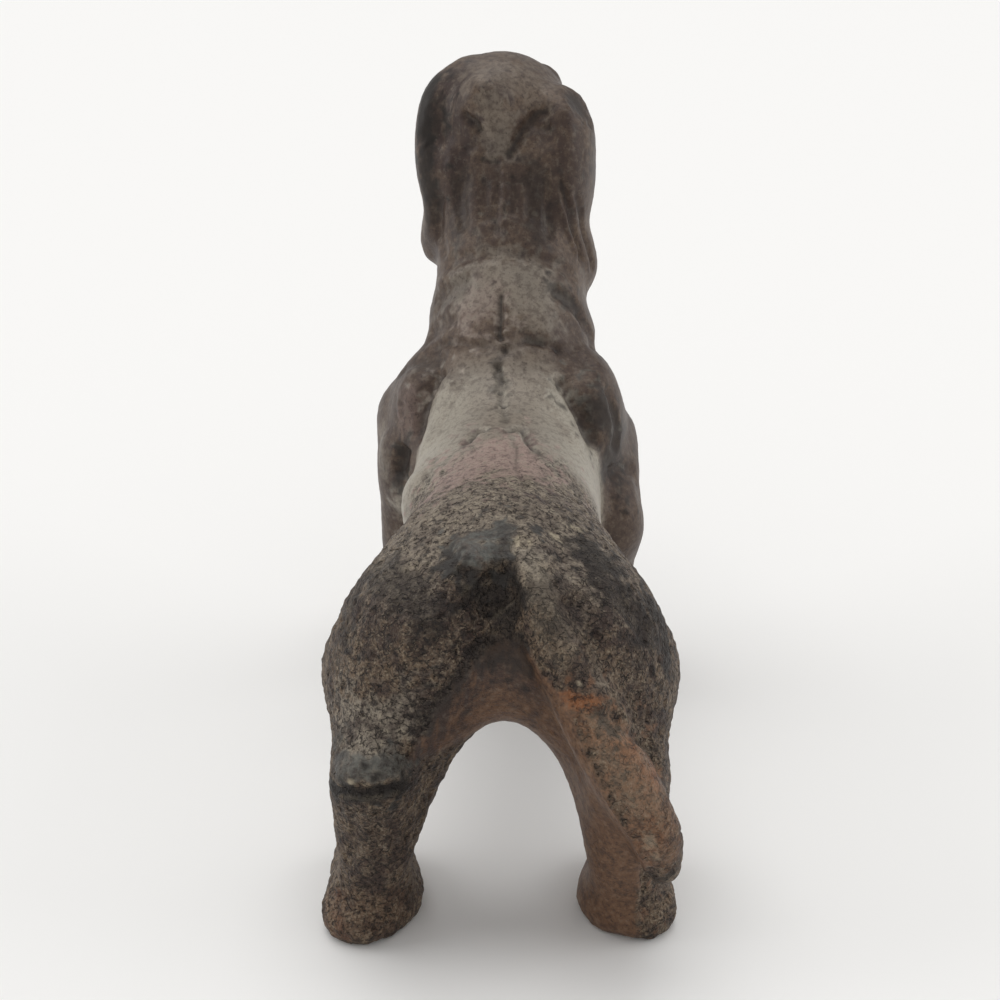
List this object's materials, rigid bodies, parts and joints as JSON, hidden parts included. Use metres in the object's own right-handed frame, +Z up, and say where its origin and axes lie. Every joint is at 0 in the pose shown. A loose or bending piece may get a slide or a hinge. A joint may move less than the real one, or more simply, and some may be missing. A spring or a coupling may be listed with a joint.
{
  "type": "dog figurine",
  "caption": "Cast iron figurine of a standing hound with its head raised, long ears, and a tail lying down its right hind leg.",
  "frame": {"origin": "on the ground under the middle of the figurine's bounding box", "axes": "+Z up, +Y the way the hound faces, +X its right side"},
  "size_m": [0.0436, 0.121, 0.0881],
  "materials": {
    "iron": "brown patina over sand-cast grit, rubbed smooth on the back and the head, low sheen"
  },
  "bodies": {
    "root": {"hound": "iron"}
  },
  "joints": []
}
